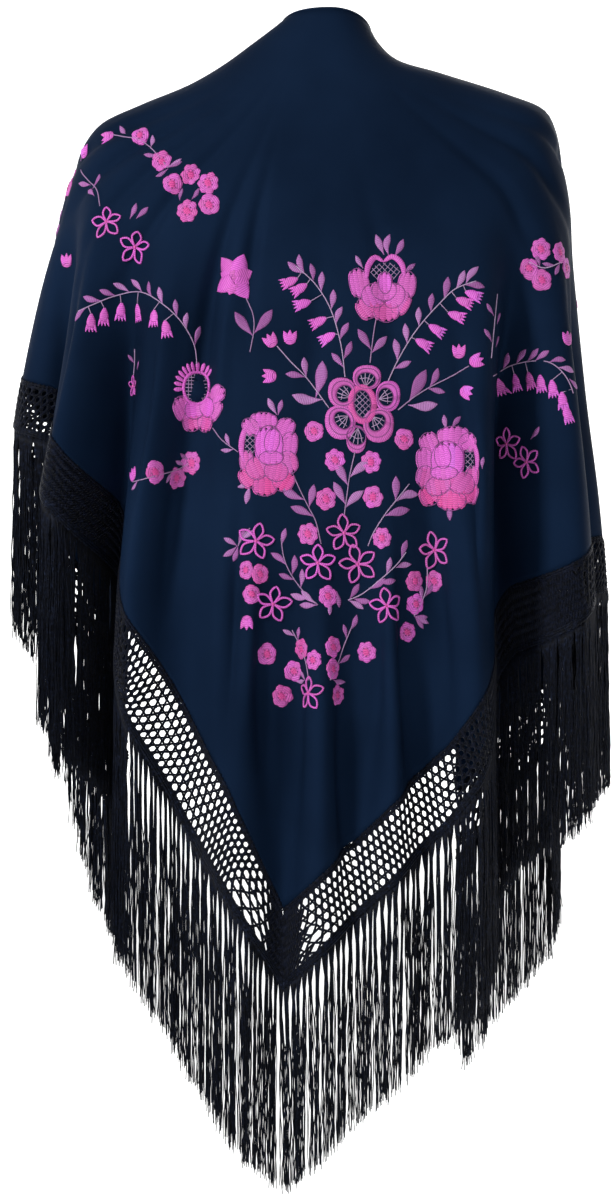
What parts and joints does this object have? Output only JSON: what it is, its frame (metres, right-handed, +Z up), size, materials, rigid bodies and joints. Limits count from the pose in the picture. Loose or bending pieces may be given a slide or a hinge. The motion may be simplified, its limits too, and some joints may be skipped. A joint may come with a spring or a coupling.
{
  "type": "fringed flamenco shawl, worn",
  "caption": "Triangular embroidered shawl in worn, hollow form: neck, front and hem open, with a knotted net border and a long fringe.",
  "frame": {"origin": "on the neck's axis, level with the base of the neck, where the shawl lies on the wearer's nape and shoulders", "axes": "+Z up, along the shawl's length; +Y the way the wearer faces, so the back panel faces -Y; +X the wearer's right"},
  "size_m": [0.6132, 0.2525, 1.195],
  "materials": {
    "crepe": "matt woven silk-like crepe with a faint sheen",
    "net": "knotted twisted thread, slight sheen",
    "fringe": "twisted thread, slight sheen"
  },
  "bodies": {
    "root": {"cloth_panel": "crepe", "net_border_left": "net", "net_border_right": "net", "fringe_front_left": "fringe", "fringe_arm_left": "fringe", "fringe_back_left": "fringe", "fringe_back_right": "fringe", "fringe_arm_right": "fringe", "fringe_front_right": "fringe"}
  },
  "joints": []
}
